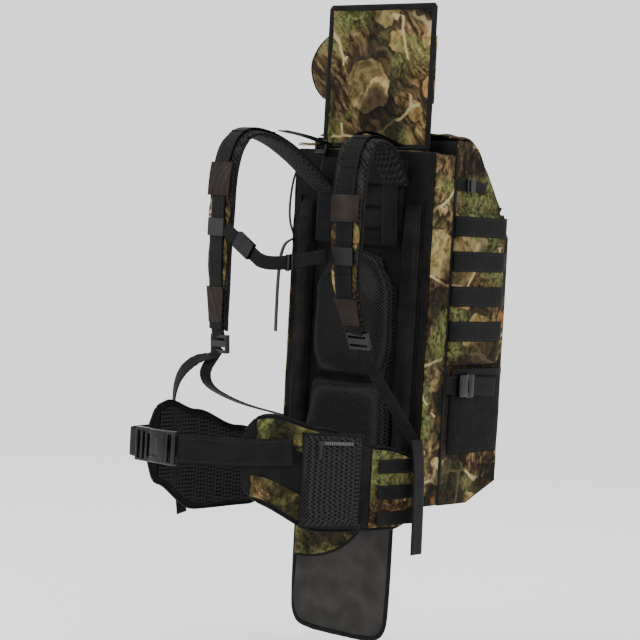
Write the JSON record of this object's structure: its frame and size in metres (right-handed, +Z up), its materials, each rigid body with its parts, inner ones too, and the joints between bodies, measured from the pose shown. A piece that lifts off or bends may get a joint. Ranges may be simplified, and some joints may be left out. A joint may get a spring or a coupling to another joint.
{
  "type": "hunting backpack",
  "caption": "Framed hunting backpack with a rifle channel, fold-over muzzle hood, hanging stock flap, camouflage bag, padded hip belt and shoulder straps.",
  "frame": {"origin": "middle of the haul loop's gap, where the pack hangs from a hook", "axes": "+Z up along the pack, +Y from the wearer's back into the bag, +X across to the right when facing the back panel"},
  "size_m": [0.4392, 0.6628, 1.194],
  "materials": {
    "camo_cloth": "woodland-print brushed polyester",
    "black_cloth": "matt black pack cloth",
    "spacer_mesh": "black spacer mesh",
    "coated_cloth": "dark grey coated cloth",
    "binding_tape": "black grosgrain binding",
    "webbing": "black woven webbing",
    "acetal": "satin black acetal",
    "zip_coil": "black coil zip",
    "hdpe": "natural high-density polyethylene sheet",
    "stay_aluminium": "mill-finish flat bar"
  },
  "bodies": {
    "pack": {"back_panel": "black_cloth", "bag_back": "camo_cloth", "bag_base": "camo_cloth", "bag_front": "camo_cloth", "bag_side_left": "camo_cloth", "bag_side_right": "camo_cloth", "frame_sheet": "hdpe", "frame_stays": "stay_aluminium", "front_pocket": "camo_cloth", "front_zip": "zip_coil", "gusset_left": "camo_cloth", "gusset_right": "camo_cloth", "harness_yoke": "black_cloth", "haul_loop": "webbing", "hood_apron": "camo_cloth", "lid_catches": "webbing", "load_lifters": "webbing", "lower_pocket_left": "black_cloth", "lower_pocket_right": "black_cloth", "lower_web_left": "webbing", "lower_web_right": "webbing", "lumbar_pad": "spacer_mesh", "rail_left": "black_cloth", "rail_right": "black_cloth", "side_pocket_left": "camo_cloth", "side_pocket_right": "camo_cloth", "side_webbing_left": "webbing", "side_webbing_right": "webbing", "sleeve_cover": "black_cloth", "spine_pad": "spacer_mesh", "strap_locks": "acetal", "strap_pad_left": "black_cloth", "strap_pad_right": "black_cloth", "strap_tail_right": "webbing", "strap_webbing_left": "webbing", "strap_webbing_right": "webbing"},
    "lid": {"lid_panel": "camo_cloth", "lid_tabs": "webbing"},
    "hood": {"hood_panel": "camo_cloth", "hood_binding": "binding_tape", "hood_ear_left": "camo_cloth", "hood_ear_right": "camo_cloth"},
    "stock_flap": {"stock_flap": "coated_cloth", "stock_yoke": "camo_cloth"},
    "hip_left": {"hip_wing_left": "black_cloth", "hip_web_left": "webbing", "buckle_male": "acetal", "strap_tail_left": "webbing"},
    "hip_right": {"hip_wing_right": "camo_cloth", "hip_web_right": "webbing", "buckle_female": "acetal", "hip_pocket": "spacer_mesh", "hip_zip": "zip_coil", "hip_rows": "webbing"},
    "hip_slider": {"hip_zip_slider": "acetal"},
    "front_slider": {"front_zip_slider": "acetal"},
    "chest_strap": {"chest_sliders": "acetal", "chest_webbing": "webbing", "chest_buckle_female": "acetal", "chest_buckle_male": "acetal"}
  },
  "joints": [
    {"name": "lid_hinge", "type": "hinge", "parent": "pack", "child": "lid", "pos_m": [0, 0.059, 0.009], "axis": [1, 0, 0], "range_deg": [0, 75]},
    {"name": "hood_fold", "type": "hinge", "parent": "pack", "child": "hood", "pos_m": [0, 0.027, -0.015], "axis": [1, 0, 0], "range_deg": [-30, 14]},
    {"name": "stock_flap_fold", "type": "hinge", "parent": "pack", "child": "stock_flap", "pos_m": [0, -0.007, -0.675], "axis": [1, 0, 0], "range_deg": [-20, 88]},
    {"name": "hip_left_swing", "type": "hinge", "parent": "pack", "child": "hip_left", "pos_m": [-0.176, -0.005, -0.672], "axis": [0, 0, -1], "range_deg": [0, 50]},
    {"name": "hip_right_swing", "type": "hinge", "parent": "pack", "child": "hip_right", "pos_m": [0.176, -0.005, -0.672], "axis": [0, 0, 1], "range_deg": [0, 7.5]},
    {"name": "chest_slide", "type": "slide", "parent": "pack", "child": "chest_strap", "axis": [0, 0, 1], "range_m": [-0.01, 0.04]},
    {"name": "front_zip_slide", "type": "slide", "parent": "pack", "child": "front_slider", "axis": [1, 0, 0], "range_m": [0, 0.186]},
    {"name": "hip_zip_slide", "type": "slide", "parent": "hip_right", "child": "hip_slider", "axis": [0.6011, 0.7992, 0], "range_m": [0, 0.054]}
  ],
  "couplings": [
    {"joint": "hip_right_swing", "follows": "hip_left_swing", "ratio": 0.15}
  ]
}
